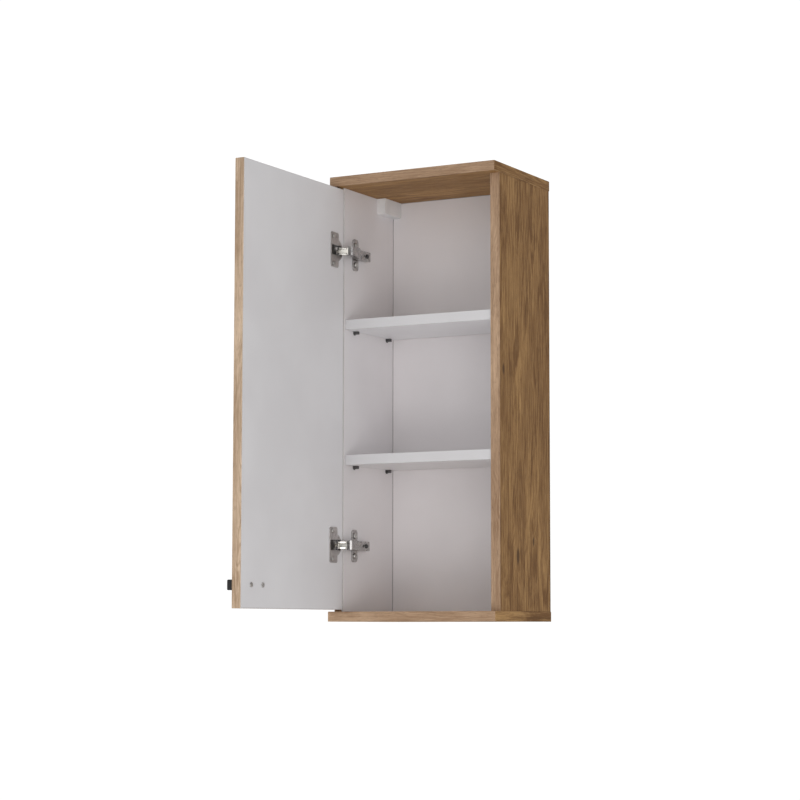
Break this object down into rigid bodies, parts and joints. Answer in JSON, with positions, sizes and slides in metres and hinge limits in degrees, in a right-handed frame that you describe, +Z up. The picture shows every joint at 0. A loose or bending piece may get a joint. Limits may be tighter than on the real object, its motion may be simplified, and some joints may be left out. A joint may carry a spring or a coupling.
{
  "type": "hanging wall cabinet",
  "caption": "Tall narrow wall cabinet in oak-look and white board: an open door on concealed cup hinges, loose shelves on pins, height-adjustable wall hooks and a small black handle.",
  "frame": {"origin": "middle of the top board's rear edge, on the wall plane", "axes": "+Z up along the cabinet's height; +Y towards the wall, so the front faces -Y; +X to the right as seen from the front, away from the hinged side"},
  "size_m": [0.321, 0.48, 0.72],
  "materials": {
    "oak_board": "matte oak-look melamine with a running grain, white melamine on the inner faces",
    "white_board": "matte white melamine",
    "oak_edging": "matte oak-look edge band",
    "white_edging": "satin white edge band",
    "beech_dowel": "raw fluted beech",
    "zinc_steel": "bright nickel-plated steel",
    "dark_pin": "dark zinc-plated steel",
    "white_plastic": "white moulded plastic",
    "cap_plastic": "oak-coloured plastic cap",
    "black_handle": "matte black powder coat"
  },
  "bodies": {
    "root": {"top_panel": "oak_board", "bottom_panel": "oak_board", "side_panel_left": "oak_board", "side_panel_right": "oak_board", "back_panel": "white_board", "edge_bands_top": "oak_edging", "edge_bands_bottom": "oak_edging", "edge_band_left": "oak_edging", "edge_band_right": "oak_edging", "panel_screws": "zinc_steel", "screw_caps": "cap_plastic", "panel_dowels": "beech_dowel", "shelf_upper": "white_board", "shelf_lower": "white_board", "edge_band_shelf_upper": "white_edging", "edge_band_shelf_lower": "white_edging", "shelf_pins_upper": "dark_pin", "shelf_pins_lower": "dark_pin", "hanger_body_left": "white_plastic", "hanger_body_right": "white_plastic", "hanger_cover_left": "white_plastic", "hanger_cover_right": "white_plastic", "hanger_screws_left": "zinc_steel", "hanger_screws_right": "zinc_steel", "mounting_plate_upper": "zinc_steel", "plate_screws_upper": "zinc_steel", "hinge_arm_upper": "zinc_steel", "arm_screws_upper": "dark_pin", "arm_pins_upper": "dark_pin", "mounting_plate_lower": "zinc_steel", "plate_screws_lower": "zinc_steel", "hinge_arm_lower": "zinc_steel", "arm_screws_lower": "dark_pin", "arm_pins_lower": "dark_pin"},
    "door": {"door_panel": "oak_board", "edge_bands_door": "oak_edging", "handle": "black_handle", "handle_screws": "zinc_steel", "cup_upper": "zinc_steel", "cup_lower": "zinc_steel", "cup_screws_upper": "zinc_steel", "cup_screws_lower": "zinc_steel", "cup_pins_upper": "dark_pin", "cup_pins_lower": "dark_pin"},
    "rear_levers": {"rear_lever_upper": "zinc_steel", "rear_lever_lower": "zinc_steel"},
    "front_levers": {"front_lever_upper": "zinc_steel", "front_lever_lower": "zinc_steel"},
    "hook_left": {"hanger_hook_left": "zinc_steel"},
    "hook_right": {"hanger_hook_right": "zinc_steel"}
  },
  "joints": [
    {"name": "rear_levers_turn", "type": "hinge", "parent": "root", "child": "rear_levers", "pos_m": [-0.11562, -0.17969, -0.352], "axis": [0, 0, 1], "range_deg": [-28, 4.7]},
    {"name": "door_swing", "type": "hinge", "parent": "rear_levers", "child": "door", "pos_m": [-0.1337, -0.1938, -0.352], "axis": [0, 0, 1], "range_deg": [-19.65, 117.9]},
    {"name": "front_levers_turn", "type": "hinge", "parent": "root", "child": "front_levers", "pos_m": [-0.11605, -0.18798, -0.352], "axis": [0, 0, 1], "range_deg": [-16.7, 2.8]},
    {"name": "hook_left_height", "type": "slide", "parent": "root", "child": "hook_left", "axis": [0, 0, 1], "range_m": [-0.003, 0.003]},
    {"name": "hook_right_height", "type": "slide", "parent": "root", "child": "hook_right", "axis": [0, 0, 1], "range_m": [-0.003, 0.003]}
  ],
  "couplings": [
    {"joint": "rear_levers_turn", "follows": "door_swing", "ratio": -0.23664},
    {"joint": "front_levers_turn", "follows": "door_swing", "ratio": -0.14122}
  ]
}
